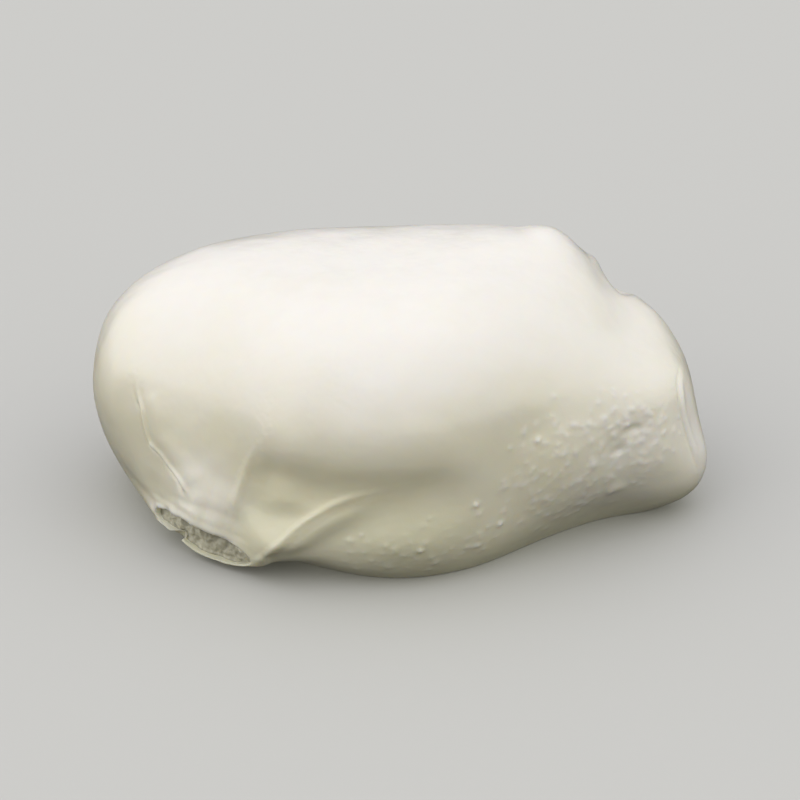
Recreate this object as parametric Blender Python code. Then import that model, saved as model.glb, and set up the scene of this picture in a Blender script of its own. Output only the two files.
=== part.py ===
"""A burrata lying on its side: a soft pouch of stretched curd, full of curd and cream.

The pouch is one closed solid.  Its skin starts as a ball of square faces, drawn
together towards the neck, where the skin was gathered, flattened and cut through.
The ball becomes a long low pillow, which sags and hollows as a soft cheese does,
and the folds of the gathered skin run out from the neck.  The pouch rests on a flat
cut at the height of the surface below it.

Sizes are in millimetres until the last step.  X runs along the cheese, -Y is the
front, where the neck shows, and Z is up.
"""

import math

import bmesh
import bpy
import numpy as np

MM = 0.001

# The pillow: a rounded block about its widest level, fuller below than above.
HALF_LENGTH = 52.0
HALF_DEPTH = 36.5
WIDEST_LEVEL = 19.0
CROWN_RISE = 26.8
BELLY_DROP = 26.0
PLAN_POWER = 2.3
CROWN_POWER = 2.4
BELLY_POWER = 3.0

# How far the front draws back towards each end, and where that starts and is full.
RIGHT_DRAWN_BACK = 0.39
RIGHT_START = 0.0
RIGHT_FULL = 39.0
LEFT_DRAWN_BACK = 0.25
LEFT_START = -17.0
LEFT_FULL = -34.0

# The neck: the oval of its cut end, which way that end faces, and how it droops.
NECK_CENTRE = (-33.2, -23.2, 4.3)
NECK_FACING = (-0.65, -0.755, -0.08)
NECK_HALF_WIDTH = 11.4
NECK_HALF_HEIGHT = 3.7
NECK_BULGE = 1.2
NECK_THIN_SIDE = 0.4
NECK_DROOP = 0.9

# How far the gathered skin reaches from the cut end, above it and below it.
GATHER_REACH = 16.0
GATHER_REACH_BELOW = 3.0

# The cut end: its lip of skin, and how deep and how rough the cut curd lies.
LIP_RISE = 0.35
CUT_RECESS = 1.0
CUT_ROUGHNESS = 0.4

# The mesh: squares along each side of the ball, and how far they crowd at the neck.
SQUARES = 30
NECK_SQUARES_WIDE = 18
NECK_SQUARES_HIGH = 6
CROWDING = 0.48
CROWDING_SPREAD = math.radians(58.0)
SMOOTHING_ROUNDS = 2

SKIN_COLOUR = (0.86, 0.83, 0.74, 1.0)
SKIN_ROUGHNESS = 0.38


def unit(vector):
    """The vector, or each row of vectors, at length one."""
    vector = np.asarray(vector, dtype=float)
    return vector / np.linalg.norm(vector, axis=-1, keepdims=True)


def smooth_step(value, start=0.0, full=1.0):
    """A soft step from 0 at the start to 1 where it is full."""
    share = np.clip((value - start) / (full - start), 0.0, 1.0)
    return share * share * (3.0 - 2.0 * share)


def axes_for(outward):
    """The axis along the neck's cut and the axis up it, for the way it faces."""
    along = unit(np.cross((0.0, 0.0, 1.0), outward))
    upward = np.cross(outward, along)
    return along, upward


# --- The ball -----------------------------------------------------------------


def make_ball():
    """A cube of even squares, whose +X side faces the neck."""
    ball = bmesh.new()
    bmesh.ops.create_cube(ball, size=2.0)
    bmesh.ops.subdivide_edges(ball, edges=ball.edges[:], cuts=SQUARES - 1, use_grid_fill=True)
    return ball


def neck_faces(ball, squares_left_out=0):
    """The squares of the cube that become the cut end, or those inside its border."""
    half_wide = (NECK_SQUARES_WIDE - 2 * squares_left_out) / SQUARES
    half_high = (NECK_SQUARES_HIGH - 2 * squares_left_out) / SQUARES
    chosen = []
    for face in ball.faces:
        middle = face.calc_center_median()
        if middle.x > 0.999 and abs(middle.y) < half_wide and abs(middle.z) < half_high:
            chosen.append(face)
    return chosen


def directions(cube_points):
    """Directions from the ball's centre for points on the cube, crowded at the neck."""
    rounded = unit(np.tan(cube_points * math.pi / 4.0))
    angle = np.arccos(np.clip(rounded[:, 0], -1.0, 1.0))
    drawn_angle = angle * (1.0 - CROWDING * np.exp(-((angle / CROWDING_SPREAD) ** 2)))
    around = unit(rounded[:, 1:] + 1e-12)
    drawn = np.column_stack((
        np.cos(drawn_angle),
        np.sin(drawn_angle) * around[:, 0],
        np.sin(drawn_angle) * around[:, 1],
    ))
    to_neck = unit(np.array(NECK_CENTRE) - np.array((0.0, 0.0, WIDEST_LEVEL)))
    along, upward = axes_for(to_neck)
    return drawn @ np.array((to_neck, along, upward))


# --- The pillow ---------------------------------------------------------------


def pillow(towards):
    """The points of the plain pillow in the given directions."""
    plan = (
        np.abs(towards[:, 0] / HALF_LENGTH) ** PLAN_POWER
        + np.abs(towards[:, 1] / HALF_DEPTH) ** PLAN_POWER
    ) ** (1.0 / PLAN_POWER)
    above = towards[:, 2] > 0.0
    rise = np.abs(towards[:, 2]) / np.where(above, CROWN_RISE, BELLY_DROP)
    power = np.where(above, CROWN_POWER, BELLY_POWER)
    distance = (plan**power + rise**power) ** (-1.0 / power)
    return towards * distance[:, None] + np.array((0.0, 0.0, WIDEST_LEVEL))


def narrow_front(points):
    """Draws the front back towards both ends, most on the right."""
    right = RIGHT_DRAWN_BACK * smooth_step(points[:, 0], RIGHT_START, RIGHT_FULL)
    left = LEFT_DRAWN_BACK * smooth_step(points[:, 0], LEFT_START, LEFT_FULL)
    narrowed = points.copy()
    narrowed[:, 1] *= np.where(points[:, 1] < 0.0, 1.0 - right - left, 1.0)
    return narrowed


def push(points, centre, reach, move):
    """Moves the points near a centre, most at the centre and none past the reach."""
    away = np.linalg.norm((points - np.array(centre)) / np.array(reach), axis=1)
    share = np.clip(1.0 - away**2, 0.0, None) ** 2
    return points + share[:, None] * np.array(move)


def curve_through(stops, steps=16):
    """A smooth curve through the stops, as many short steps."""
    stops = np.array(stops, dtype=float)
    ends = np.vstack((2 * stops[0] - stops[1], stops, 2 * stops[-1] - stops[-2]))
    curve = []
    for before, start, end, after in zip(ends, ends[1:], ends[2:], ends[3:]):
        for step in np.linspace(0.0, 1.0, steps, endpoint=False):
            straight = (end - before) * step
            bend = (2.0 * before - 5.0 * start + 4.0 * end - after) * step**2
            ease = (3.0 * start - before - 3.0 * end + after) * step**3
            curve.append(start + 0.5 * (straight + bend + ease))
    curve.append(stops[-1])
    return np.array(curve)


def push_along(points, stops, reach, move):
    """Moves the points near a curve, most on the curve and none past the reach."""
    gaps = (points[:, None] - curve_through(stops)[None]) / np.array(reach)
    away = np.linalg.norm(gaps, axis=2).min(axis=1)
    share = np.clip(1.0 - away**2, 0.0, None) ** 2
    return points + share[:, None] * np.array(move)


def settle_top(points):
    """The broad crown, the high left dome, the low back right and the sloping shoulders."""
    points = push(points, centre=(-6, 14, 46), reach=(38, 44, 26), move=(0, 0, -2.8))
    points = push(points, centre=(-50, 2, 32), reach=(20, 30, 20), move=(-0.2, 0, 2.0))
    points = push(points, centre=(47, 10, 40), reach=(22, 40, 30), move=(0, 0, -6.0))
    points = push(points, centre=(37, 16, 38), reach=(8, 24, 18), move=(0, 0, -1.8))
    points = push(points, centre=(31, 14, 41), reach=(7, 18, 12), move=(0, 0, 0.8))
    points = push(points, centre=(36, -10, 38), reach=(30, 26, 22), move=(0, 0, -5.5))
    points = push(points, centre=(-36, -16, 38), reach=(20, 20, 18), move=(0, 0, -2.6))
    return points


def settle_ends(points):
    """The blunt right end with its toe, and the cheek drawn in under the left dome."""
    points = push(points, centre=(53, 0, 24), reach=(12, 34, 15), move=(-2.0, 0, 0))
    points = push(points, centre=(50, -9, 2), reach=(16, 18, 16), move=(4.2, -1.6, 0))
    points = push(points, centre=(36, -20, -1), reach=(26, 24, 13), move=(0, 4.5, 0))
    points = push(points, centre=(-48, -12, 3), reach=(22, 24, 22), move=(3.6, 0.8, 0))
    points = push(points, centre=(-29, -29, -2), reach=(30, 22, 9), move=(2.5, 6.0, 0))
    return points


def settle_front(points):
    """The tuck and the roll of belly below it, the full side beyond them, and its dimples."""
    tuck = ((-18, -34, 17.5), (-6, -36, 16.5), (4, -35, 16.5))
    roll = ((-12, -36, 8), (-4, -37, 8), (3, -36, 8))
    points = push_along(points, tuck, reach=(12, 14, 9), move=(0, 2.6, 0))
    points = push_along(points, roll, reach=(12, 14, 8), move=(0, -0.2, 0))
    points = push(points, centre=(28, -22, 17), reach=(16, 12, 11), move=(0, -1.6, 0))
    points = push(points, centre=(39.5, -14.5, 20), reach=(4, 6, 3.5), move=(-0.4, 0.9, 0))
    points = push(points, centre=(35.5, -17, 18), reach=(4, 6, 3.5), move=(-0.2, 0.5, 0))
    return points


def pouch(cube_points):
    """The whole pouch, without its neck, for points on the cube."""
    points = narrow_front(pillow(directions(cube_points)))
    return settle_front(settle_ends(settle_top(points)))


# --- The neck -----------------------------------------------------------------


def neck_oval(across, up):
    """Points of the cut end for places in a square from -1 to 1 each way.

    The end is thin at the cheek, full towards the front, and hangs lower there.
    """
    outward = unit(NECK_FACING)
    along, upward = axes_for(outward)
    wide = across * np.sqrt(1.0 - up**2 / 2.0)
    high = up * np.sqrt(1.0 - across**2 / 2.0)
    fullness = NECK_THIN_SIDE + (1.0 - NECK_THIN_SIDE) * smooth_step(wide, -0.45, 0.0)
    rise = np.where(high < 0.0, high * fullness, high) * NECK_HALF_HEIGHT - NECK_DROOP * wide
    bulge = NECK_BULGE * (1.0 - wide**2)
    return (
        np.array(NECK_CENTRE)
        + wide[:, None] * NECK_HALF_WIDTH * along
        + rise[:, None] * upward
        + bulge[:, None] * outward
    )


def gathered_pouch(cube_points):
    """The pouch with its skin drawn in to the oval of the cut neck."""
    body = pouch(cube_points)
    half_wide = NECK_SQUARES_WIDE / SQUARES
    half_high = NECK_SQUARES_HIGH / SQUARES
    held = np.column_stack((
        np.ones(len(cube_points)),
        np.clip(cube_points[:, 1], -half_wide, half_wide),
        np.clip(cube_points[:, 2], -half_high, half_high),
    ))
    root = pouch(held)
    oval = neck_oval(held[:, 1] / half_wide, held[:, 2] / half_high)
    below = cube_points[:, 2] < -half_high
    reach = np.where(below, GATHER_REACH_BELOW, GATHER_REACH)
    nearness = np.clip(1.0 - np.linalg.norm(body - root, axis=1) / reach, 0.0, 1.0)
    share = np.where(cube_points[:, 0] > 0.0, nearness**2, 0.0)
    return body + share[:, None] * (oval - root)


def cut_neck(ball, cut_faces):
    """Raises the lip round the cut end and sinks the rough cut curd inside it."""
    outward = unit(NECK_FACING)
    along, upward = axes_for(outward)
    sunk = bmesh.ops.extrude_face_region(ball, geom=cut_faces)["geom"]
    sunk = [item for item in sunk if isinstance(item, bmesh.types.BMVert)]
    bmesh.ops.delete(ball, geom=cut_faces, context="FACES")
    for corner in sunk:
        place = np.array(corner.co) - np.array(NECK_CENTRE)
        wide = place @ along
        high = place @ upward
        rough = math.sin(1.9 * wide + 2.3 * high) * math.cos(2.6 * high - 0.7 * wide)
        corner.co = np.array(corner.co) - outward * (CUT_RECESS - CUT_ROUGHNESS * rough)
    lip = {other for corner in sunk for edge in corner.link_edges for other in edge.verts}
    for corner in lip.difference(sunk):
        corner.co = np.array(corner.co) + outward * LIP_RISE


# --- The folds ----------------------------------------------------------------


def fold(ball, stops, left, right, crest, reach, edge):
    """Raises and lowers the skin on the two sides of a fold.

    Left and right are the heights seen from outside by someone who follows the
    fold, and crest is a height added along its line.  Reach is how far each side
    carries, and edge is how wide the step between the two sides is.
    """
    ball.normal_update()
    points = np.array([corner.co for corner in ball.verts])
    normals = np.array([corner.normal for corner in ball.verts])
    curve = curve_through(stops)
    under = np.linalg.norm(points[:, None] - curve[None], axis=2).argmin(axis=0)
    sunk = np.einsum("ij,ij->i", points[under] - curve, normals[under])
    curve = curve + sunk[:, None] * normals[under]
    run = unit(np.gradient(curve, axis=0))

    distances = np.linalg.norm(points[:, None] - curve[None], axis=2)
    nearest = distances.argmin(axis=1)
    away = distances.min(axis=1)
    sideways = unit(np.cross(run[nearest], normals))
    side = np.einsum("ij,ij->i", points - curve[nearest], sideways)
    progress = nearest / (len(curve) - 1.0)
    strength = smooth_step(progress, -0.06, 0.2) * smooth_step(progress, 1.0, 0.55)
    share = smooth_step(side, -edge / 2.0, edge / 2.0)
    height = (right * share + left * (1.0 - share)) * np.exp(-((away / reach) ** 2))
    height = height + crest * np.exp(-((away / edge) ** 2))
    moved = points + (height * strength)[:, None] * normals
    for corner, place in zip(ball.verts, moved):
        corner.co = place


def fold_skin(ball):
    """The folds of the gathered skin, each followed from the neck outwards, then eased."""
    over_cheek = ((-37, -21, 8.5), (-37.6, -24, 13.4), (-40.9, -23.5, 20), (-43.9, -21.5, 25),
                  (-45, -18.5, 29))
    over_side = ((-27, -27.5, 8), (-26.7, -30, 16), (-25.9, -31.8, 21.5), (-24.4, -32, 27),
                 (-22.5, -31, 31.5))
    over_belly = ((-24.6, -30.6, 3), (-17, -33.4, 8), (-9, -34.6, 13), (-1, -34.2, 17))
    right_edge = ((50.5, -8, 3), (50, -6, 12), (48.5, -5, 20), (46, -4, 27))
    fold(ball, over_cheek, left=-1.0, right=0.8, crest=0.2, reach=4.5, edge=1.6)
    fold(ball, over_side, left=0.1, right=-0.9, crest=1.0, reach=5.5, edge=2.2)
    fold(ball, over_belly, left=1.4, right=-1.4, crest=0.6, reach=5.5, edge=2.2)
    fold(ball, right_edge, left=-0.4, right=0.3, crest=0.1, reach=3.5, edge=2.0)
    for _ in range(SMOOTHING_ROUNDS):
        bmesh.ops.smooth_vert(
            ball, verts=ball.verts, factor=0.5, use_axis_x=True, use_axis_y=True, use_axis_z=True
        )


# --- The whole ----------------------------------------------------------------


def flatten_base(ball):
    """Cuts the pouch level with the surface it rests on and closes it with one face."""
    everything = ball.verts[:] + ball.edges[:] + ball.faces[:]
    cut = bmesh.ops.bisect_plane(
        ball, geom=everything, dist=0.02, plane_co=(0, 0, 0), plane_no=(0, 0, -1), clear_outer=True
    )
    outline = [item for item in cut["geom_cut"] if isinstance(item, bmesh.types.BMEdge)]
    for edge in outline:
        for corner in edge.verts:
            corner.co.z = 0.0
    bmesh.ops.contextual_create(ball, geom=outline)


def centre_on_base(ball):
    """Moves the pouch so that the middle of its box stands over the origin."""
    places = np.array([corner.co for corner in ball.verts])
    middle = (places.min(axis=0) + places.max(axis=0)) / 2.0
    bmesh.ops.translate(ball, verts=ball.verts[:], vec=(-middle[0], -middle[1], 0.0))


def make_skin_material():
    """Moist ivory curd."""
    material = bpy.data.materials.new("moist ivory curd")
    material.use_nodes = True
    shader = material.node_tree.nodes["Principled BSDF"]
    shader.inputs["Base Color"].default_value = SKIN_COLOUR
    shader.inputs["Roughness"].default_value = SKIN_ROUGHNESS
    shader.inputs["Metallic"].default_value = 0.0
    return material


def make_burrata():
    """The pouch as one object."""
    ball = make_ball()
    cut_faces = neck_faces(ball, squares_left_out=1)
    cube_points = np.array([corner.co for corner in ball.verts])
    for corner, place in zip(ball.verts, gathered_pouch(cube_points)):
        corner.co = place
    fold_skin(ball)
    cut_neck(ball, cut_faces)
    flatten_base(ball)
    centre_on_base(ball)
    bmesh.ops.scale(ball, verts=ball.verts[:], vec=(MM, MM, MM))
    bmesh.ops.recalc_face_normals(ball, faces=ball.faces[:])

    mesh = bpy.data.meshes.new("burrata")
    ball.to_mesh(mesh)
    ball.free()
    mesh.shade_smooth()
    mesh.materials.append(make_skin_material())
    return bpy.data.objects.new("burrata", mesh)


for leftover in list(bpy.data.objects):
    bpy.data.objects.remove(leftover, do_unlink=True)

collection = bpy.data.collections.new("Burrata")
bpy.context.scene.collection.children.link(collection)
collection.objects.link(make_burrata())
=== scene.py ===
import math

import bpy
import numpy as np
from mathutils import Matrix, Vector


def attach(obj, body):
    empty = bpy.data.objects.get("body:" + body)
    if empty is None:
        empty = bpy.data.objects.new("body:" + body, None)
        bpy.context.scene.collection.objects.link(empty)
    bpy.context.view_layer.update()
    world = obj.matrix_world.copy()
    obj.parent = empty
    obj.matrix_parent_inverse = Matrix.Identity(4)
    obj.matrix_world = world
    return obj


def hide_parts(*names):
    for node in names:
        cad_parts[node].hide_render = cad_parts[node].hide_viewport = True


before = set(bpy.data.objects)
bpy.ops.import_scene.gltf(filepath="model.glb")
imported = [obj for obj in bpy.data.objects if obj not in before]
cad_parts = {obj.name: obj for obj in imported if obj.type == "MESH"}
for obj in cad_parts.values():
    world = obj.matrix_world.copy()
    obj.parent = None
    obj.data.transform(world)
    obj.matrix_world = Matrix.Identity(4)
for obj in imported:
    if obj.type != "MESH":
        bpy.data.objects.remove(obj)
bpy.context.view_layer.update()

MM = 0.001


# --- The pouch --------------------------------------------------------------------------
# A burrata is a sheet of curd, stretched while hot into a bag, filled with loose curd
# and cream, and drawn shut at the neck.  It lies on its side and slumps.  The pouch is
# modelled as one skin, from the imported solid, with its squares made finer and relaxed.

MERGE_GAP = 0.01 * MM
SQUARE_ANGLE = math.radians(60)
FINER_LEVELS = 2
CUT_SLOT = 1

moist_curd = bpy.data.materials.new("moist_curd")
cut_curd = bpy.data.materials.new("cut_curd")

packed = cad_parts["burrata"]
pouch = bpy.data.objects.new("pouch", packed.data.copy())
bpy.context.scene.collection.objects.link(pouch)
pouch.data.materials.clear()
pouch.data.materials.append(moist_curd)
pouch.data.materials.append(cut_curd)
bpy.ops.object.select_all(action="DESELECT")
bpy.context.view_layer.objects.active = pouch
pouch.select_set(True)

bpy.ops.mesh.customdata_custom_splitnormals_clear()
bpy.ops.object.mode_set(mode="EDIT")
bpy.ops.mesh.select_all(action="SELECT")
bpy.ops.mesh.remove_doubles(threshold=MERGE_GAP)
bpy.ops.mesh.tris_convert_to_quads(face_threshold=SQUARE_ANGLE, shape_threshold=SQUARE_ANGLE)
bpy.ops.object.mode_set(mode="OBJECT")


def edit_faces(wanted):
    """Goes into edit mode with those faces of the pouch selected that the test wants."""
    bpy.ops.object.mode_set(mode="EDIT")
    bpy.ops.mesh.select_mode(type="EDGE")
    bpy.ops.mesh.select_all(action="DESELECT")
    bpy.ops.object.mode_set(mode="OBJECT")
    for face in pouch.data.polygons:
        face.select = bool(wanted(face))
    bpy.ops.object.mode_set(mode="EDIT")
    bpy.ops.mesh.select_mode(type="FACE")


# The resting face is taken off, and is put back flat once the skin is shaped.
edit_faces(lambda face: max(pouch.data.vertices[i].co.z for i in face.vertices) < MERGE_GAP)
bpy.ops.mesh.delete(type="FACE")
bpy.ops.object.mode_set(mode="OBJECT")

# The neck's cut end: its middle, and the ways out of it, along it and up it.
NECK_CENTRE = np.array((-33.6, -23.3, 4.3))
NECK_OUT = np.array((-0.650, -0.755, -0.080))
NECK_ALONG = np.array((0.758, -0.652, 0.0))
NECK_UP = np.array((-0.052, -0.061, 0.997))
NECK_HALF_WIDTH = 11.4
NECK_HALF_HEIGHT = 3.7
# Its lower left is flatter, its right end hangs lower, and its middle bulges outwards.
NECK_THIN_SIDE = 0.4
NECK_DROOP = 0.9
NECK_BULGE = 1.2

# The sunk curd's share of the neck's width and height, and how far it lies under the lip.
SUNK_WIDTH = 0.93
SUNK_HEIGHT = 0.72
SUNK_DEPTH = 0.45
LIP_CREASE = 0.55


def soft_step(value, start, full):
    """A soft step from 0 at the start to 1 where it is full."""
    share = np.clip((value - start) / (full - start), 0.0, 1.0)
    return share * share * (3.0 - 2.0 * share)


def swell(value, middle, width):
    """One at the middle, falling softly to nothing over about twice the width."""
    return np.exp(-(((value - middle) / width) ** 2))


def neck_places(places):
    """Each place at the neck: along from -1 to 1, up from -1 to 1, and how far out."""
    away = places - NECK_CENTRE
    along = away @ NECK_ALONG / NECK_HALF_WIDTH
    fullness = NECK_THIN_SIDE + (1.0 - NECK_THIN_SIDE) * soft_step(along, -0.45, 0.0)
    rise = (away @ NECK_UP + NECK_DROOP * along) / NECK_HALF_HEIGHT
    rise = np.where(rise < 0.0, rise / fullness, rise)
    out = away @ NECK_OUT - NECK_BULGE * (1.0 - np.clip(along, -1.0, 1.0) ** 2)
    return along, rise, out


def is_cut(face):
    """Whether a face is of the sunk curd inside the lip of the neck."""
    along, rise, out = (float(value[0]) for value in neck_places(np.array([face.center]) / MM))
    inside = abs(along) < SUNK_WIDTH and abs(rise) < SUNK_HEIGHT and out < -SUNK_DEPTH
    return inside and float(NECK_OUT @ face.normal) > 0.5


edit_faces(is_cut)
pouch.active_material_index = CUT_SLOT
bpy.ops.object.material_slot_assign()
bpy.ops.mesh.region_to_loop()
bpy.ops.transform.edge_crease(value=LIP_CREASE)
bpy.ops.object.mode_set(mode="OBJECT")

finer = pouch.modifiers.new("finer", "SUBSURF")
finer.levels = FINER_LEVELS
finer.render_levels = FINER_LEVELS
bpy.ops.object.modifier_apply(modifier=finer.name)

# The front half, with all the folds, has its wider squares cut once more.
FRONT_LIMIT = 4.0 * MM
WIDE_SQUARE = 0.62 * MM**2

edit_faces(lambda face: face.center.y < FRONT_LIMIT and face.area > WIDE_SQUARE)
bpy.ops.mesh.subdivide(number_cuts=1, smoothness=0.0)
bpy.ops.object.mode_set(mode="OBJECT")

SHARE_STEPS = 20
ON_FLOOR = 0.01


def skin_points():
    """The places and normals of the skin's corners, the places in millimetres."""
    count = len(pouch.data.vertices)
    places = np.zeros(count * 3, np.float32)
    normals = np.zeros(count * 3, np.float32)
    pouch.data.vertices.foreach_get("co", places)
    pouch.data.vertex_normals.foreach_get("vector", normals)
    return places.reshape(-1, 3).astype(float) / MM, normals.reshape(-1, 3).astype(float)


def move_skin(places):
    """Puts the skin's corners at these places, in millimetres."""
    pouch.data.vertices.foreach_set("co", (places * MM).astype(np.float32).ravel())
    pouch.data.update()


def use_shares(modifier, shares):
    """Applies a modifier to the pouch, as much at each corner as the corner's share says."""
    group = pouch.vertex_groups.new(name=modifier.name)
    for step in range(1, SHARE_STEPS + 1):
        chosen = np.nonzero(np.round(shares * SHARE_STEPS) == step)[0]
        group.add(chosen.tolist(), step / SHARE_STEPS, "REPLACE")
    modifier.vertex_group = group.name
    bpy.ops.object.modifier_apply(modifier=modifier.name)
    pouch.vertex_groups.clear()


def relax_skin(rounds, shares):
    """Evens the skin out; many rounds pull it taut between the places that are held.

    The edge of the skin on the floor is always held.
    """
    places, _ = skin_points()
    relax = pouch.modifiers.new("relax", "SMOOTH")
    relax.factor = 0.5
    relax.iterations = rounds
    use_shares(relax, shares * (places[:, 2] > ON_FLOOR))


skin, _ = skin_points()
from_neck = np.linalg.norm(skin - NECK_CENTRE, axis=1)
relax_skin(rounds=5, shares=0.3 + 0.7 * soft_step(from_neck, 12.0, 20.0))


# --- The neck ---------------------------------------------------------------------------
# Above the cut the skin is drawn taut from the belly down to the lip of the neck, where
# it flares out a little.  Below the cut the lip stands out.  The cut is tallest at its
# middle, where the upper lip arches.

TAUT_ROUNDS = 400
FLARE_TILT = 0.3
LOWER_LIP_RISE = 0.45


def press(centre, reach, move):
    """Moves the skin near a centre, most at the centre and none past the reach."""
    places, _ = skin_points()
    away = np.linalg.norm((places - np.array(centre)) / np.array(reach), axis=1)
    share = np.clip(1.0 - away**2, 0.0, None) ** 2
    move_skin(places + share[:, None] * np.array(move))


def on_neck(across, up, out):
    """The place that is so far across the neck, up it in millimetres, and out of it."""
    sideways = across * NECK_HALF_WIDTH * NECK_ALONG
    bulge = NECK_BULGE * (1.0 - across**2)
    return NECK_CENTRE + sideways + up * NECK_UP + (out + bulge) * NECK_OUT


skin, _ = skin_points()
across, rise, out = neck_places(skin)
height = skin[:, 2]
over_neck = soft_step(across, 1.2, 0.85) * soft_step(across, -1.7, -1.25) * soft_step(out, -10.0, -7.0)
drawn_band = soft_step(height, 9.5, 11.5) * soft_step(height, 30.0, 26.0)
relax_skin(TAUT_ROUNDS, over_neck * drawn_band)

skin, _ = skin_points()
across, rise, out = neck_places(skin)
width_share = np.abs(across)
at_neck = soft_step(out, -9.0, -5.0) * soft_step(width_share, 1.15, 0.75)
flare = soft_step(rise, 0.8, 1.15) * soft_step(rise, 2.6, 1.6)
lower_lip = swell(rise, -0.76, 0.16) * soft_step(out, -1.4, -0.6) * soft_step(width_share, 1.0, 0.85)
draw_in = FLARE_TILT * flare * at_neck
move_skin(skin + (LOWER_LIP_RISE * lower_lip - draw_in)[:, None] * NECK_OUT)

# The drawn skin is fuller above the lip, and the upper lip arches at its middle.
press(on_neck(0.1, 8.3, -1.2), reach=(10.0, 10.0, 5.5), move=0.9 * NECK_OUT)
press(on_neck(0.0, 3.3, 0.0), reach=(9.0, 8.0, 5.0), move=(0.0, 0.0, 1.2))
# The upper lip stands forward, and the skin slopes down to it.
press(on_neck(0.1, 4.2, 0.0), reach=(10.0, 8.5, 3.4), move=1.5 * NECK_OUT)
press(on_neck(0.1, 6.6, 0.0), reach=(9.0, 8.0, 3.4), move=0.45 * NECK_OUT)
# The right end of the lip is pulled out to a corner, where the web of skin starts.
press(on_neck(1.0, -0.3, 0.0), reach=(4.5, 4.5, 4.0), move=1.9 * NECK_ALONG)


def make_finer(places, reach):
    """Makes the squares of the skin finer near any of these places."""
    low = places.min(axis=0) - reach
    high = places.max(axis=0) + reach

    def is_near(face):
        centre = np.array(face.center) / MM
        if (centre < low).any() or (centre > high).any():
            return False
        return np.linalg.norm(places - centre, axis=1).min() < reach

    edit_faces(is_near)
    bpy.ops.mesh.subdivide(number_cuts=1, smoothness=0.0)
    bpy.ops.object.mode_set(mode="OBJECT")


# The lip's own line, just outside the sunk curd, gets the finer squares.
LIP_WIDTH = 1.03
LIP_HEIGHT = 3.9

turns = np.linspace(0.0, 2.0 * math.pi, 90)
lip_line = [on_neck(LIP_WIDTH * math.cos(turn), LIP_HEIGHT * math.sin(turn), 0.0) for turn in turns]
make_finer(np.array(lip_line), reach=1.3)


# --- The folds of the skin --------------------------------------------------------------
# Where the sheet is drawn to the neck it wrinkles: one fold laps over the cheek, one
# ridge climbs the side, and a web of skin is pulled out over the belly.  At the blunt
# end the sheet's edge shows as a thin lip.

CHEEK_FOLD = (
    (-34.6, -23.9, 11.8), (-35.9, -23.4, 13.2), (-37.2, -22.6, 14.7), (-38.8, -20.9, 15.9),
    (-40.3, -19.7, 17.5), (-42.1, -18.6, 18.7), (-43.1, -17.8, 21.2), (-43.8, -17.2, 24.5),
    (-44.5, -16.0, 26.4), (-44.9, -13.8, 29.5),
)
SIDE_RIDGE = (
    (-28.0, -28.5, 11.0), (-27.1, -28.9, 15.2), (-26.3, -29.1, 17.8), (-25.8, -29.3, 20.1),
    (-24.3, -30.7, 24.5), (-22.2, -31.4, 28.8), (-22.5, -30.3, 30.4), (-22.5, -29.0, 33.0),
)
BELLY_WEB = (
    (-24.2, -31.2, 3.0), (-22.3, -33.2, 5.4), (-20.4, -35.2, 8.1), (-17.5, -35.7, 11.2),
    (-14.3, -35.2, 13.8), (-10.8, -34.8, 15.8), (-6.9, -34.6, 17.2), (-1.7, -34.5, 18.3),
)
END_LIP = (
    (47.1, 3.5, 25.4), (47.4, -0.8, 25.1), (47.0, -5.6, 24.7), (47.2, -7.8, 23.0),
    (47.5, -8.9, 20.2), (48.1, -9.0, 16.8), (49.0, -9.2, 14.0), (49.9, -9.4, 11.1),
    (50.6, -8.8, 8.0),
)
LONGEST_REACH = 40.0
END_REACH = 3.0
FAR_OFF = 99.0


def line_through(stops, steps=14):
    """A smooth line through the stops, as many short steps."""
    stops = np.array(stops, dtype=float)
    ends = np.vstack((2 * stops[0] - stops[1], stops, 2 * stops[-1] - stops[-2]))
    line = []
    for before, start, end, after in zip(ends, ends[1:], ends[2:], ends[3:]):
        for step in np.linspace(0.0, 1.0, steps, endpoint=False):
            bend = (2.0 * before - 5.0 * start + 4.0 * end - after) * step**2
            ease = (3.0 * start - before - 3.0 * end + after) * step**3
            line.append(start + 0.5 * ((end - before) * step + bend + ease))
    return np.array(line + [stops[-1]])


def beside(places, normals, stops):
    """How far each place is to the right of a line, how far along it, and which way right is.

    Right is as seen from outside by someone who follows the line.  Along runs from 0
    to 1, and places that are far off the line are given as far to the right.
    """
    line = line_through(stops)
    near = np.nonzero(np.linalg.norm(places - line.mean(axis=0), axis=1) < LONGEST_REACH)[0]
    gaps = np.linalg.norm(places[near][:, None] - line[None], axis=2)
    nearest = gaps.argmin(axis=1)
    run = np.gradient(line, axis=0)
    run = run / np.linalg.norm(run, axis=1, keepdims=True)
    across = np.cross(run[nearest], normals[near])
    signed = np.einsum("ij,ij->i", places[near] - line[nearest], across)
    past_end = gaps.min(axis=1) > np.abs(signed) + END_REACH
    side = np.full(len(places), FAR_OFF)
    along = np.zeros(len(places))
    right = np.zeros((len(places), 3))
    side[near] = np.where(past_end, FAR_OFF, signed)
    along[near] = nearest / (len(line) - 1.0)
    right[near] = across
    return side, along, right


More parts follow.
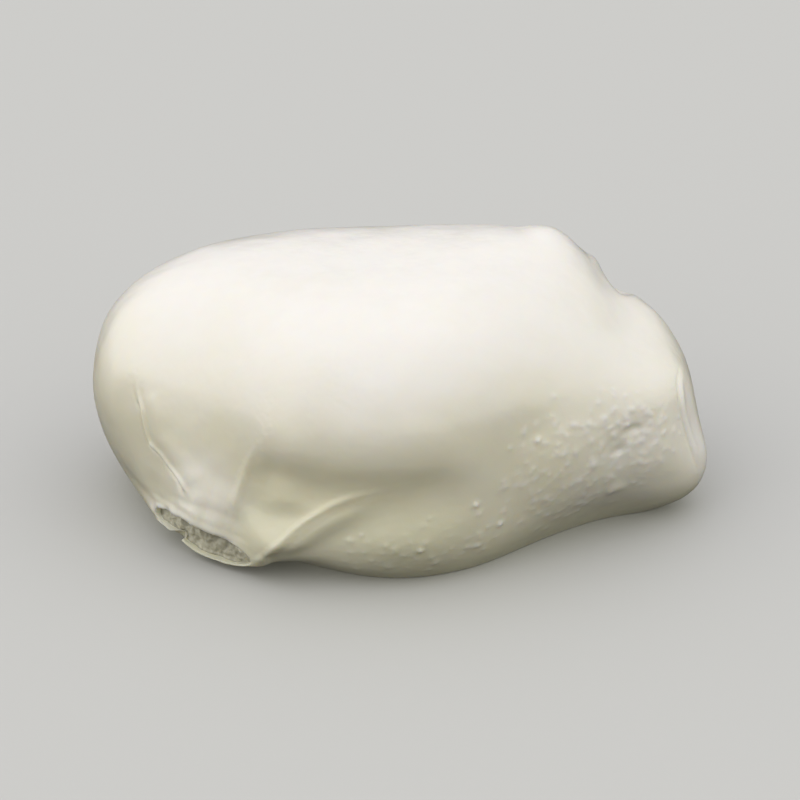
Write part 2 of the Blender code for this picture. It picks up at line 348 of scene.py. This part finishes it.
def fold(stops, lip, groove, fade, lean=0.0, spread=(0.0, 1.0, 1.0)):
    """Draws a fold along a line: a raised lip and a groove, each (height, side, width).

    Fade gives where along the line it starts, is full, is last full and ends.  Lean
    lays the lip over the groove, and spread is a broad swelling behind the lip.
    """
    places, normals = skin_points()
    side, along, right = beside(places, normals, stops)
    hold = soft_step(along, fade[0], fade[1]) * soft_step(along, fade[3], fade[2])
    lift = sum(rise * swell(side, middle, width) for rise, middle, width in (lip, groove, spread))
    slide = lean * swell(side, lip[1], lip[2]) * np.sign(groove[1] - lip[1])
    move_skin(places + (hold * lift)[:, None] * normals + (hold * slide)[:, None] * right)


def nearness(places, centre, reach):
    """One at the centre of a soft patch of the skin, and none past its reach."""
    away = np.linalg.norm((places - np.array(centre)) / np.array(reach), axis=1)
    return soft_step(away, 1.0, 0.3)


# Between the folds the skin is even: over the blunt end, and below the notch behind it.
skin, _ = skin_points()
relax_skin(rounds=150, shares=nearness(skin, (43.0, -11.0, 20.0), (11.0, 12.0, 10.0)))
relax_skin(rounds=120, shares=nearness(skin, (34.0, 4.0, 35.0), (9.0, 10.0, 9.0)))

# The belly leans in below its fullest height, where it has slumped.
SLUMP = np.array((0.0, 0.5, 0.0))

skin, _ = skin_points()
length, depth, height = skin.T
slumped = soft_step(height, 31.0, 24.0) * soft_step(np.abs(length - 3.0), 34.0, 14.0)
move_skin(skin + (slumped * soft_step(depth, -10.0, -22.0))[:, None] * SLUMP)

for stops in (CHEEK_FOLD, SIDE_RIDGE, BELLY_WEB, END_LIP):
    make_finer(line_through(stops, steps=5), reach=1.6)

fold(CHEEK_FOLD, lip=(0.42, 0.3, 0.38), groove=(-0.3, -0.5, 0.4), fade=(0.03, 0.2, 0.75, 1.0),
     lean=0.15, spread=(0.45, 2.6, 2.2))
fold(SIDE_RIDGE, lip=(0.4, -0.2, 0.8), groove=(-0.35, 3.2, 2.0), fade=(0.0, 0.12, 0.3, 0.7))
fold(BELLY_WEB, lip=(0.32, -0.5, 0.6), groove=(-0.2, 1.3, 0.9), fade=(0.0, 0.1, 0.7, 1.0))
fold(END_LIP, lip=(0.4, -1.2, 0.8), groove=(-0.22, 0.0, 0.25), fade=(0.05, 0.5, 0.8, 1.0),
     lean=0.1)


# --- Pleats and strands -----------------------------------------------------------------
# The drawn skin above the cut is gathered into short pleats, and its stretched curd
# shows as very fine strands that fan out from the neck.

PLEAT_HEIGHT = 0.16
STRAND_HEIGHT = 0.035
# The fan's point lies this deep below the neck, and its waves go round this many times
# in a turn: the pleats, their wander and their gaps, and then the same for the strands.
FAN_DEPTH = 18.0
PLEAT_WAVES = (27.0, 11.0, 9.0)
STRAND_WAVES = (150.0, 31.0, 47.0)

skin, normals = skin_points()
across, rise, out = neck_places(skin)
turn = np.arctan2(across * NECK_HALF_WIDTH, np.maximum(rise * NECK_HALF_HEIGHT + FAN_DEPTH, 1.0))
reach = np.linalg.norm(skin - NECK_CENTRE, axis=1)
above = soft_step(rise, 0.6, 1.5)

pleats, wander, gaps = (turn * waves for waves in PLEAT_WAVES)
pleats = np.sin(pleats + 0.8 * np.sin(wander)) * np.sin(gaps + 1.1)
pleats = pleats * soft_step(reach, 16.0, 7.0) * above

strands, wander, gaps = (turn * waves for waves in STRAND_WAVES)
strands = np.sin(strands + 3.0 * np.sin(wander)) * (0.6 + 0.4 * np.sin(gaps))
strands = strands * soft_step(reach, 26.0, 9.0) * above

lift = PLEAT_HEIGHT * pleats + STRAND_HEIGHT * strands
move_skin(skin + lift[:, None] * normals)


# --- Soft places ------------------------------------------------------------------------
# The slumped pouch is dented where it was held: a notch at the back of its blunt end,
# two small dimples on its side, and broad, low waves all over it.

# The back edge of the top stands up before the notch, the notch, and the knob beside it.
press(centre=(25.5, 19.0, 40.0), reach=(6.0, 12.0, 8.0), move=(0.0, 0.0, 1.1))
press(centre=(37.2, 20.0, 31.0), reach=(3.8, 12.0, 7.0), move=(-0.4, -0.8, -2.0))
press(centre=(33.2, 19.5, 35.0), reach=(1.7, 8.0, 4.0), move=(0.3, 0.0, 0.35))
# The blunt end is full low on its front.
press(centre=(44.0, -13.5, 15.5), reach=(9.0, 9.0, 7.0), move=(0.35, -0.55, 0.0))
# Beside the web the skin sinks in, and it is fuller above that.
press(centre=(-19.0, -34.0, 12.0), reach=(7.0, 6.0, 4.5), move=(0.0, 0.9, 0.0))
press(centre=(-20.0, -32.0, 16.5), reach=(7.0, 6.0, 4.5), move=(0.0, -0.5, 0.0))
# The shoulder of the blunt end swells in front of the notch.
press(centre=(33.5, 2.5, 36.0), reach=(8.0, 9.0, 8.0), move=(0.2, 0.0, 0.6))
# The two dimples, and a low bulge under them.
press(centre=(39.1, -15.8, 20.4), reach=(2.2, 2.6, 1.3), move=(-0.22, 0.42, 0.0))
press(centre=(36.9, -17.4, 17.3), reach=(1.7, 2.5, 1.1), move=(-0.2, 0.4, 0.0))
press(centre=(36.6, -16.3, 9.4), reach=(2.4, 3.0, 1.6), move=(0.15, -0.3, 0.0))
# A knot where the cheek's fold bends.
press(centre=(-42.3, -18.8, 18.7), reach=(1.2, 1.4, 1.0), move=(-0.1, -0.3, 0.05))


def ruffle(name, scale, strength, where):
    """Raises and lowers the skin by a fine pattern, as much as each corner's share says."""
    pattern = bpy.data.textures.new(name, "CLOUDS")
    pattern.noise_scale = scale * MM
    pattern.noise_depth = 1
    wave = pouch.modifiers.new(name, "DISPLACE")
    wave.texture = pattern
    wave.texture_coords = "LOCAL"
    wave.mid_level = 0.5
    wave.strength = strength * MM
    use_shares(wave, where)


skin, _ = skin_points()
off_floor = soft_step(skin[:, 2], 0.3, 3.0)
off_cut = soft_step(np.linalg.norm(skin - NECK_CENTRE, axis=1), 11.0, 16.0)
ruffle("broad_waves", scale=13.0, strength=0.45, where=off_floor * off_cut)
ruffle("small_waves", scale=4.0, strength=0.1, where=off_floor * off_cut)


# --- The grains of curd -----------------------------------------------------------------
# The loose curd of the filling presses against the thin skin of the side and the belly.
# It shows there as small pimples with painted highlights on their tops, and a few larger
# grains stand out brighter with a stronger painted glint.

GRAIN_COUNT = 300
GRAIN_WIDTH = (0.38, 0.68)
GRAIN_HEIGHT = (0.04, 0.15)
GRAIN_REACH = 0.8
BRIGHT_GRAINS = ((17.0, -29.1, 9.3), (12.8, -31.9, 14.5), (23.0, -25.8, 23.3), (3.5, -35.2, 7.5))
BRIGHT_WIDTH = 0.5
BRIGHT_HEIGHT = 0.4

skin, _ = skin_points()
side_patch = nearness(skin, (31.0, -20.0, 16.0), (25.0, 17.0, 15.0))
belly_patch = nearness(skin, (8.0, -34.0, 7.0), (24.0, 10.0, 8.0))
pimply = np.clip(side_patch + 0.4 * belly_patch, 0.0, 1.0) * off_floor
ruffle("pimples", scale=1.9, strength=0.1, where=pimply)
ruffle("grain", scale=0.8, strength=0.07, where=off_floor * off_cut)

draw = np.random.default_rng(7)
skin, _ = skin_points()
seats = skin[draw.choice(len(skin), GRAIN_COUNT, replace=False, p=pimply / pimply.sum())]
widths = draw.uniform(*GRAIN_WIDTH, GRAIN_COUNT)
heights = draw.uniform(*GRAIN_HEIGHT, GRAIN_COUNT)
for spot in BRIGHT_GRAINS:
    nearest = np.linalg.norm(skin - np.array(spot), axis=1).argmin()
    seats = np.vstack((seats, skin[nearest]))
    widths = np.append(widths, BRIGHT_WIDTH)
    heights = np.append(heights, BRIGHT_HEIGHT)
make_finer(seats, GRAIN_REACH)


def grain_lift(places):
    """How high the grains lift the skin at each of these places."""
    lift = np.zeros(len(places))
    for seat, width, height in zip(seats, widths, heights):
        lift += height * swell(np.linalg.norm(places - seat, axis=1), 0.0, width)
    return lift


skin, normals = skin_points()
move_skin(skin + grain_lift(skin)[:, None] * normals)


# --- The cut neck -----------------------------------------------------------------------
# The neck was squeezed flat and sliced off.  A lip of skin, a millimetre thick, stands
# round wet grains and shreds of curd, and a scrap of the lower lip is torn.

LIP_RING = 0.93
LIP_RING_WIDTH = 0.12

edit_faces(lambda face: face.material_index == CUT_SLOT)
bpy.ops.mesh.subdivide(number_cuts=1, smoothness=0.0)
bpy.ops.object.mode_set(mode="OBJECT")


def cut_and_lip():
    """How far each corner belongs to the sunk curd, and how far to the lip round it."""
    sunk = np.zeros(len(pouch.data.vertices))
    for face in pouch.data.polygons:
        if face.material_index == CUT_SLOT:
            sunk[list(face.vertices)] = 1.0
    for face in pouch.data.polygons:
        if face.material_index != CUT_SLOT:
            sunk[list(face.vertices)] = 0.0
    places, _ = skin_points()
    across, rise, out = neck_places(places)
    ring = np.hypot(across, rise)
    rim = swell(ring, LIP_RING, LIP_RING_WIDTH) * soft_step(out, -1.6, -0.2) * (1.0 - sunk)
    return sunk, rim


# The torn scrap: the lip is pushed in and aside, and its loose tip is drawn back.
press(on_neck(-0.38, -1.4, 0.25), reach=(1.8, 1.8, 1.5),
      move=1.3 * NECK_ALONG - 1.0 * NECK_OUT + 0.9 * NECK_UP)
press(on_neck(-0.27, -2.0, 0.4), reach=(1.5, 1.5, 1.1), move=-0.6 * NECK_ALONG + 0.2 * NECK_UP)

sunk, rim = cut_and_lip()
ruffle("lip_waves", scale=3.0, strength=0.7, where=rim)

# The curd lies deepest under the upper lip.
skin, _ = skin_points()
across, rise, out = neck_places(skin)
deeper = sunk * (0.2 + 0.9 * soft_step(rise, 0.45, 0.85))
move_skin(skin - deeper[:, None] * NECK_OUT)
ruffle("curd_grains", scale=1.4, strength=1.1, where=sunk)
ruffle("fine_grains", scale=0.6, strength=0.45, where=sunk)


# --- The resting face -------------------------------------------------------------------
# The pouch lies flat on what is under it.  Its skin turns under with a firm edge, pressed
# flat by its own weight.

bpy.ops.object.mode_set(mode="EDIT")
bpy.ops.mesh.select_mode(type="EDGE")
bpy.ops.mesh.select_all(action="DESELECT")
bpy.ops.mesh.select_non_manifold(
    extend=False, use_wire=False, use_boundary=True, use_multi_face=False,
    use_non_contiguous=False, use_verts=False,
)
bpy.ops.mesh.mark_sharp()
bpy.ops.mesh.edge_face_add()
bpy.ops.object.mode_set(mode="OBJECT")
bpy.ops.object.shade_smooth()


# --- Painted shade and highlights on the curd -------------------------------------------
# The top is left whitest.  Low down and under the belly the curd is painted creamier and
# darker as painted shade, and olive painted shade lies at the foot, on the low front and
# beside the web, with a faint painted greenish reflection on the cheek.  The drawn skin,
# grains, the lip of the neck and the blunt end's lip are painted paler as painted highlights.


def paint(name, values):
    """Keeps a value for each corner of the skin, for the materials to read."""
    layer = pouch.data.attributes.new(name, "FLOAT", "POINT")
    layer.data.foreach_set("value", np.clip(values, 0.0, 1.0).astype(np.float32))


skin, normals = skin_points()
length, depth, height = skin.T
sunk, rim = cut_and_lip()
across, rise, out = neck_places(skin)
# Painted shade: creamier and darker low down, less so at the blunt end, and under the belly.
low_down = soft_step(height, 42.0, 20.0) * (1.0 - 0.5 * soft_step(length, 16.0, 44.0))
under_belly = nearness(skin, (-12.0, -32.0, 19.0), (22.0, 9.0, 8.0))
# Painted light: the drawn skin above the neck is painted whiter.
drawn_skin = nearness(skin, (-32.0, -25.0, 14.0), (14.0, 9.0, 11.0))
# Painted highlight: a whiter strip beside the blunt end's lip.
side, along, _ = beside(skin, normals, END_LIP)
end_strip = soft_step(side, -5.0, -3.5) * soft_step(side, -0.1, -0.6) * soft_step(along, 0.2, 0.4)
shade_and_highlight = 0.75 * low_down + 0.35 * under_belly - 0.35 * drawn_skin - 0.9 * end_strip
# Painted highlights: the lip round the cut, most of all the upper lip, and the tops of the grains are
# painted paler.
shade_and_highlight = shade_and_highlight - rim * np.where(rise > 0.0, 0.9, 0.2) - 2.5 * grain_lift(skin)
# Painted shade: the cut curd is painted darkest under its upper lip.
shade_and_highlight = np.where(sunk > 0.5, 0.2 + 0.8 * soft_step(rise, 0.1, 0.8), shade_and_highlight)
paint("shade_and_highlight_share", shade_and_highlight)

# Painted shade in an olive tone at the foot, on the low front and beside the web, and a faint painted
# greenish reflection on the cheek.
cheek = nearness(skin, (-46.0, -14.0, 15.0), (12.0, 12.0, 14.0))
low_front = nearness(skin, (-1.0, -35.0, 10.5), (22.0, 8.0, 7.5))
web_hollow = nearness(skin, (-21.5, -31.0, 10.5), (10.0, 8.0, 9.0))
foot = soft_step(height, 9.0, 0.0)
paint("olive_shade_share", 0.1 * cheek + 0.6 * low_front + 0.5 * web_hollow + 0.8 * foot)


# --- The curd ---------------------------------------------------------------------------
# Moist, milky curd: light sinks a little way in and comes out warm, under a thin wet
# film.  The cut curd in the neck is rougher, darker and wetter than the skin, with painted
# shade under its upper lip.

CURD_WHITE = (0.90, 0.885, 0.872, 1.0)
# The cream tone is both the curd's random patches and its painted shade.
CREAM_AND_SHADE = (0.85, 0.82, 0.66, 1.0)
# The olive tone of the painted shade and the painted reflection.
OLIVE_SHADE = (0.74, 0.735, 0.57, 1.0)
CUT_PALE = (0.63, 0.62, 0.53, 1.0)
# The dark cut tone is both the cut's random patches and its painted shade under the upper lip.
CUT_DARK_AND_SHADE = (0.26, 0.24, 0.17, 1.0)
CURD_IOR = 1.4
LIGHT_DEPTH = 1.8 * MM
LIGHT_SPREAD = (1.0, 0.85, 0.6)
WET_FROM = (0.35, 0.65)
WET_TO = (0.15, 0.6)


def add_node(tree, kind, at, **values):
    """A node of that kind at that place, with its inputs set by name."""
    node = tree.nodes.new(kind)
    node.location = at
    for name, value in values.items():
        node.inputs[name.replace("_", " ")].default_value = value
    return node


def colour_mix(tree, at, share, first, second):
    """A node that mixes two colours by a share, and the socket that it gives out."""
    mix = tree.nodes.new("ShaderNodeMix")
    mix.data_type = "RGBA"
    mix.location = at
    tree.links.new(share, mix.inputs[0])
    for socket, colour in ((mix.inputs[6], first), (mix.inputs[7], second)):
        if isinstance(colour, tuple):
            socket.default_value = colour
        else:
            tree.links.new(colour, socket)
    return mix.outputs[2]


def make_mottle():
    """Soft patches of one tone in another, with a fine grain, shared by skin and cut curd."""
    group = bpy.data.node_groups.new("curd_mottle", "ShaderNodeTree")
    for name, kind in (
        ("Pale Tone", "NodeSocketColor"), ("Deep Tone", "NodeSocketColor"),
        ("Deep Share", "NodeSocketFloat"), ("Mottle", "NodeSocketFloat"),
        ("Patches", "NodeSocketFloat"), ("Grains", "NodeSocketFloat"),
    ):
        group.interface.new_socket(name, in_out="INPUT", socket_type=kind)
    for name, kind in (
        ("Tone", "NodeSocketColor"), ("Height", "NodeSocketFloat"), ("Wetness", "NodeSocketFloat"),
    ):
        group.interface.new_socket(name, in_out="OUTPUT", socket_type=kind)
    link = group.links.new
    given = add_node(group, "NodeGroupInput", (-1200, 0))
    put_out = add_node(group, "NodeGroupOutput", (600, 0))
    place = add_node(group, "ShaderNodeTexCoord", (-1200, 300))

    patches = add_node(group, "ShaderNodeTexNoise", (-900, 300), Detail=3.0, Roughness=0.55)
    link(place.outputs["Object"], patches.inputs["Vector"])
    link(given.outputs["Patches"], patches.inputs["Scale"])
    centred = add_node(group, "ShaderNodeMath", (-700, 300))
    centred.operation = "SUBTRACT"
    centred.inputs[1].default_value = 0.5
    link(patches.outputs["Fac"], centred.inputs[0])
    # The patches are added to the deep share, which carries the painted shade and highlights.
    spread = add_node(group, "ShaderNodeMath", (-500, 300))
    spread.operation = "MULTIPLY_ADD"
    spread.use_clamp = True
    link(centred.outputs[0], spread.inputs[0])
    link(given.outputs["Mottle"], spread.inputs[1])
    link(given.outputs["Deep Share"], spread.inputs[2])
    tone = colour_mix(
        group, (-200, 300), spread.outputs[0], given.outputs["Pale Tone"], given.outputs["Deep Tone"]
    )
    link(tone, put_out.inputs["Tone"])

    grains = add_node(group, "ShaderNodeTexNoise", (-900, -100), Detail=4.0, Roughness=0.6)
    link(place.outputs["Object"], grains.inputs["Vector"])
    link(given.outputs["Grains"], grains.inputs["Scale"])
    link(grains.outputs["Fac"], put_out.inputs["Height"])

    wet = add_node(
        group, "ShaderNodeMapRange", (-500, -300),
        From_Min=WET_FROM[0], From_Max=WET_FROM[1], To_Min=WET_TO[0], To_Max=WET_TO[1],
    )
    link(patches.outputs["Fac"], wet.inputs["Value"])
    link(wet.outputs["Result"], put_out.inputs["Wetness"])
    return group


mottle = make_mottle()


def dress(material, tones, patches, grains, mottling, bump, finish):
    """Fills a material with mottled curd, and gives its tree, its shader and its tone.

    Bump is (strength, distance), and finish sets the shader's own inputs by name.
    """
    material.use_nodes = True
    tree = material.node_tree
    shader = tree.nodes["Principled BSDF"]
    shader.inputs["IOR"].default_value = CURD_IOR
    shader.inputs["Subsurface Radius"].default_value = LIGHT_SPREAD
    shader.inputs["Subsurface Scale"].default_value = LIGHT_DEPTH
    for name, value in finish.items():
        shader.inputs[name].default_value = value
    painted = add_node(tree, "ShaderNodeAttribute", (-1000, -200))
    painted.attribute_name = "shade_and_highlight_share"
    mix = add_node(tree, "ShaderNodeGroup", (-700, 0))
    mix.node_tree = mottle
    mix.inputs["Pale Tone"].default_value = tones[0]
    mix.inputs["Deep Tone"].default_value = tones[1]
    mix.inputs["Mottle"].default_value = mottling
    mix.inputs["Patches"].default_value = patches
    mix.inputs["Grains"].default_value = grains
    tree.links.new(painted.outputs["Fac"], mix.inputs["Deep Share"])
    relief = add_node(tree, "ShaderNodeBump", (-300, -300), Strength=bump[0], Distance=bump[1])
    tree.links.new(mix.outputs["Height"], relief.inputs["Height"])
    tree.links.new(relief.outputs["Normal"], shader.inputs["Normal"])
    tree.links.new(mix.outputs["Wetness"], shader.inputs["Coat Weight"])
    return tree, shader, mix.outputs["Tone"]


tree, shader, tone = dress(
    moist_curd, (CURD_WHITE, CREAM_AND_SHADE), patches=70.0, grains=1500.0, mottling=0.7,
    bump=(0.25, 0.05 * MM),
    finish={"Roughness": 0.36, "Coat Roughness": 0.18, "Subsurface Weight": 0.65},
)
# The olive painted shade is mixed over the curd's tone.
painted = add_node(tree, "ShaderNodeAttribute", (-700, 400))
painted.attribute_name = "olive_shade_share"
tinted = colour_mix(tree, (-300, 200), painted.outputs["Fac"], tone, OLIVE_SHADE)
tree.links.new(tinted, shader.inputs["Base Color"])

tree, shader, tone = dress(
    cut_curd, (CUT_PALE, CUT_DARK_AND_SHADE), patches=550.0, grains=2600.0, mottling=2.2,
    bump=(0.5, 0.12 * MM),
    finish={"Roughness": 0.42, "Coat Roughness": 0.12, "Subsurface Weight": 0.35},
)
tree.links.new(tone, shader.inputs["Base Color"])

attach(pouch, "root")
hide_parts("burrata")


# --- The studio -------------------------------------------------------------------------
# A plain pale floor under a soft sky that is brightest overhead and dim near the ground.
# Two large soft lights stand to the left and right, a little forward, and a weaker one
# stands behind.

FLOOR_SIZE = 12.0
FLOOR_DROP = 0.1 * MM
FLOOR_TONE = (0.56, 0.57, 0.575, 1.0)
BACKDROP = (0.72, 0.72, 0.71, 1.0)
# The sky's colour from straight down, at 0, over the horizon, at 0.5, to overhead, at 1.
SKY_STRENGTH = 1.3
SKY_TONES = (
    (0.34, (0.050, 0.048, 0.042)),
    (0.47, (0.165, 0.161, 0.140)),
    (0.52, (0.180, 0.176, 0.157)),
    (0.62, (0.200, 0.195, 0.175)),
    (0.74, (0.242, 0.237, 0.218)),
    (0.86, (0.368, 0.360, 0.356)),
    (1.00, (0.698, 0.689, 0.750)),
)
# Each soft light's direction and colour.  All fade towards their edge and the horizon.
SOFTBOXES = (
    ((-1.0, -0.25, 0.2), (1.110, 1.075, 0.955)),
    ((1.0, -0.3, 0.3), (0.790, 0.770, 0.650)),
    ((0.0, 1.0, 0.5), (0.330, 0.325, 0.340)),
)
SOFTBOX_EDGE = 0.2
SOFTBOX_FALL = 1.5
HORIZON = (-0.02, 0.06)
UP = (0.0, 0.0, 1.0)

bpy.ops.mesh.primitive_plane_add(size=FLOOR_SIZE, location=(0.0, 0.0, -FLOOR_DROP))
floor = bpy.context.object
floor.name = "floor"
floor_paint = bpy.data.materials.new("pale_floor")
floor_paint.use_nodes = True
floor_shader = floor_paint.node_tree.nodes["Principled BSDF"]
floor_shader.inputs["Base Color"].default_value = FLOOR_TONE
floor_shader.inputs["Roughness"].default_value = 0.7
floor.data.materials.append(floor_paint)
floor.visible_diffuse = False
floor.visible_glossy = False

studio = bpy.data.worlds.new("studio")
bpy.context.scene.world = studio
studio.use_nodes = True
sky = studio.node_tree
background = sky.nodes["Background"]
background.inputs["Strength"].default_value = SKY_STRENGTH
direction = add_node(sky, "ShaderNodeTexCoord", (-1400, 0))


def towards(at, way, edge, full=1.0):
    """How far the direction looked in is towards a way: 0 at the edge, 1 where it is full."""
    facing = add_node(sky, "ShaderNodeVectorMath", at)
    facing.operation = "DOT_PRODUCT"
    facing.inputs[1].default_value = Vector(way).normalized()
    sky.links.new(direction.outputs["Generated"], facing.inputs[0])
    share = add_node(sky, "ShaderNodeMapRange", (at[0] + 200, at[1]), From_Min=edge, From_Max=full)
    sky.links.new(facing.outputs["Value"], share.inputs["Value"])
    return share.outputs["Result"]


ramp = add_node(sky, "ShaderNodeValToRGB", (-800, 0))
tones = ramp.color_ramp.elements
tones.remove(tones[1])
for position, colour in SKY_TONES:
    stop = tones[0] if position == SKY_TONES[0][0] else tones.new(position)
    stop.position = position
    stop.color = (*colour, 1.0)
sky.links.new(towards((-1200, 0), UP, edge=-1.0), ramp.inputs["Fac"])
light = ramp.outputs["Color"]
above_floor = towards((-1200, -1000), UP, *HORIZON)
for row, (way, colour) in enumerate(SOFTBOXES, start=1):
    fall = add_node(sky, "ShaderNodeMath", (-1000, -250 * row))
    fall.operation = "POWER"
    fall.inputs[1].default_value = SOFTBOX_FALL
    sky.links.new(towards((-1400, -250 * row), way, SOFTBOX_EDGE), fall.inputs[0])
    shown = add_node(sky, "ShaderNodeMath", (-800, -250 * row))
    shown.operation = "MULTIPLY"
    sky.links.new(fall.outputs[0], shown.inputs[0])
    sky.links.new(above_floor, shown.inputs[1])
    glow = add_node(sky, "ShaderNodeVectorMath", (-600, -250 * row))
    glow.operation = "SCALE"
    glow.inputs[0].default_value = colour
    sky.links.new(shown.outputs[0], glow.inputs["Scale"])
    total = add_node(sky, "ShaderNodeVectorMath", (-400, -250 * row))
    sky.links.new(light, total.inputs[0])
    sky.links.new(glow.outputs[0], total.inputs[1])
    light = total.outputs[0]
sky.links.new(light, background.inputs["Color"])

# The camera sees a plain backdrop in place of the sky.
backdrop = add_node(sky, "ShaderNodeBackground", (-200, -200), Color=BACKDROP)
sight = add_node(sky, "ShaderNodeLightPath", (-200, 300))
seen = add_node(sky, "ShaderNodeMixShader", (100, 0))
sky.links.new(sight.outputs["Is Camera Ray"], seen.inputs[0])
sky.links.new(background.outputs[0], seen.inputs[1])
sky.links.new(backdrop.outputs[0], seen.inputs[2])
sky.links.new(seen.outputs[0], sky.nodes["World Output"].inputs["Surface"])


# --- The camera -------------------------------------------------------------------------
# It looks down on the front of the pouch from well back, so that it keeps its true
# proportions.

VIEW_AIM = Vector((0.0, 0.0, 0.01765))
VIEW_DISTANCE = 1.442
VIEW_ELEVATION = math.radians(27.9)
VIEW_LENS = 381.15
SENSOR_WIDTH = 36.0
VIEW_LIMIT = 20.0

towards_camera = Vector((0.0, -math.cos(VIEW_ELEVATION), math.sin(VIEW_ELEVATION)))
camera = bpy.data.objects.new("camera", bpy.data.cameras.new("camera"))
bpy.context.scene.collection.objects.link(camera)
camera.location = VIEW_AIM + towards_camera * VIEW_DISTANCE
camera.rotation_euler = towards_camera.to_track_quat("Z", "Y").to_euler()
camera.data.sensor_width = SENSOR_WIDTH
camera.data.lens = VIEW_LENS
camera.data.clip_end = VIEW_LIMIT
bpy.context.scene.camera = camera
bpy.context.scene.view_settings.view_transform = "Standard"
